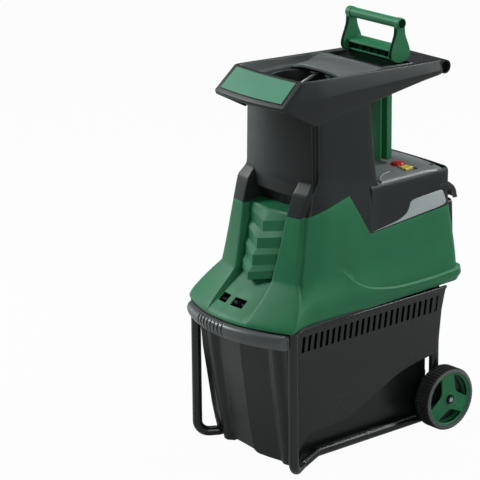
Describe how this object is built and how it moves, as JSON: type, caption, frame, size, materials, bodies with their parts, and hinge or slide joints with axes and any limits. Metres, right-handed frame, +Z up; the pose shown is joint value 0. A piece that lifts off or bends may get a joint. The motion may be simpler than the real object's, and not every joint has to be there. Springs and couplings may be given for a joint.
{
  "type": "garden shredder",
  "caption": "Wheeled electric garden shredder with a sloping feed hopper, a plunger, a geared cutting drum and a collection box that pulls out between bent tube legs.",
  "frame": {"origin": "on the floor under the middle of the whole machine", "axes": "+Z up, +X to the machine's right as seen by its user behind it, the apron and the box's grip face -Y"},
  "size_m": [0.4076, 0.65, 1.0335],
  "materials": {
    "green_plastic": "moulded, fine grain",
    "charcoal_plastic": "moulded, fine grain",
    "grey_plastic": "moulded, fine grain",
    "black_plastic": "moulded, satin",
    "red_plastic": "smooth",
    "green_button": "smooth",
    "yellow_plastic": "smooth",
    "black_tube": "gloss black coat",
    "tyre": "moulded tread",
    "steel": "turned",
    "alloy": "cast"
  },
  "bodies": {
    "frame": {"frame_tube_left": "black_tube", "frame_tube_right": "black_tube", "axle": "steel", "wheel_spacers": "steel", "axle_caps": "steel", "base_pan": "black_plastic", "lower_housing": "green_plastic", "louvre_panel": "green_plastic", "tower_shell": "charcoal_plastic", "feed_chute": "black_plastic", "hopper_tray": "charcoal_plastic", "hopper_front_plate": "green_plastic", "throat_hood": "grey_plastic", "handle_tube": "charcoal_plastic", "rear_cover": "charcoal_plastic", "control_deck": "grey_plastic", "side_inset_left": "grey_plastic", "side_inset_right": "grey_plastic", "switch_module": "black_plastic", "inlet_hood": "black_plastic", "mains_inlet": "black_plastic", "box_switch": "black_plastic", "cutting_chamber": "alloy", "drum_bearing_front": "steel", "drum_bearing_rear": "steel", "gearbox_case": "alloy", "gearbox_cover": "alloy", "motor_casing": "alloy", "capacitor": "black_plastic", "housing_screws": "steel", "deck_screws": "steel", "frame_bolts": "steel", "chamber_bolts": "steel", "motor_bolts": "steel"},
    "wheel_left": {"wheel_left": "green_plastic", "tyre_left": "tyre"},
    "wheel_right": {"wheel_right": "green_plastic", "tyre_right": "tyre"},
    "box": {"collection_box": "black_plastic", "box_grip_band": "charcoal_plastic"},
    "latch": {"box_latch": "black_plastic"},
    "box_pin": {"box_switch_pin": "red_plastic"},
    "plunger": {"plunger_handle": "green_plastic", "plunger_blade": "green_plastic"},
    "stop": {"stop_button": "red_plastic"},
    "start": {"start_button": "green_button"},
    "direction": {"direction_switch": "yellow_plastic"},
    "drum": {"cutting_drum": "steel", "drum_blades": "alloy", "drum_shaft": "steel", "output_gear": "steel"},
    "lay": {"layshaft": "steel"},
    "motor": {"motor_shaft": "steel", "motor_rotor": "steel", "cooling_fan": "black_plastic"},
    "plate": {"counter_plate": "alloy"},
    "knob": {"adjust_screw": "steel", "adjust_knob": "black_plastic"}
  },
  "joints": [
    {"name": "wheel_left_spin", "type": "hinge", "parent": "frame", "child": "wheel_left", "pos_m": [0, 0.246, 0.079], "axis": [1, 0, 0], "continuous": true},
    {"name": "wheel_right_spin", "type": "hinge", "parent": "frame", "child": "wheel_right", "pos_m": [0, 0.246, 0.079], "axis": [1, 0, 0], "continuous": true},
    {"name": "box_slide", "type": "slide", "parent": "frame", "child": "box", "axis": [0, -1, 0], "range_m": [0, 0.42]},
    {"name": "latch_slide", "type": "slide", "parent": "frame", "child": "latch", "axis": [1, 0, 0], "range_m": [0, 0.018]},
    {"name": "box_pin_push", "type": "slide", "parent": "frame", "child": "box_pin", "axis": [0, 0, 1], "range_m": [0, 0.0025], "stiffness_N_per_m": 200, "springref_m": -0.002},
    {"name": "plunger_lift", "type": "slide", "parent": "frame", "child": "plunger", "axis": [0, 0, 1], "range_m": [0, 0.24]},
    {"name": "stop_press", "type": "slide", "parent": "frame", "child": "stop", "axis": [0, 0, -1], "range_m": [0, 0.004], "stiffness_N_per_m": 800, "springref_m": -0.002},
    {"name": "start_press", "type": "slide", "parent": "frame", "child": "start", "axis": [0, 0, -1], "range_m": [0, 0.004], "stiffness_N_per_m": 800, "springref_m": -0.002},
    {"name": "direction_tilt", "type": "hinge", "parent": "frame", "child": "direction", "pos_m": [0.11, 0.178, 0.654], "axis": [0, 1, 0], "range_deg": [-8, 8]},
    {"name": "motor_spin", "type": "hinge", "parent": "frame", "child": "motor", "pos_m": [0.00048, 0.1, 0.51189], "axis": [0, 1, 0], "continuous": true},
    {"name": "lay_spin", "type": "hinge", "parent": "frame", "child": "lay", "pos_m": [-0.04982, 0.04, 0.53534], "axis": [0, 1, 0], "continuous": true},
    {"name": "drum_spin", "type": "hinge", "parent": "frame", "child": "drum", "pos_m": [0.02, -0.063, 0.49], "axis": [0, 1, 0], "continuous": true},
    {"name": "knob_turn", "type": "hinge", "parent": "frame", "child": "knob", "pos_m": [-0.16, -0.063, 0.49], "axis": [1, 0, 0], "range_deg": [0, 720]},
    {"name": "plate_feed", "type": "slide", "parent": "frame", "child": "plate", "axis": [1, 0, 0], "range_m": [0, 0.00348]}
  ],
  "couplings": [
    {"joint": "lay_spin", "follows": "motor_spin", "ratio": -0.12121},
    {"joint": "drum_spin", "follows": "motor_spin", "ratio": 0.014692},
    {"joint": "knob_turn", "follows": "plate_feed", "rad_per_m": 3611}
  ]
}
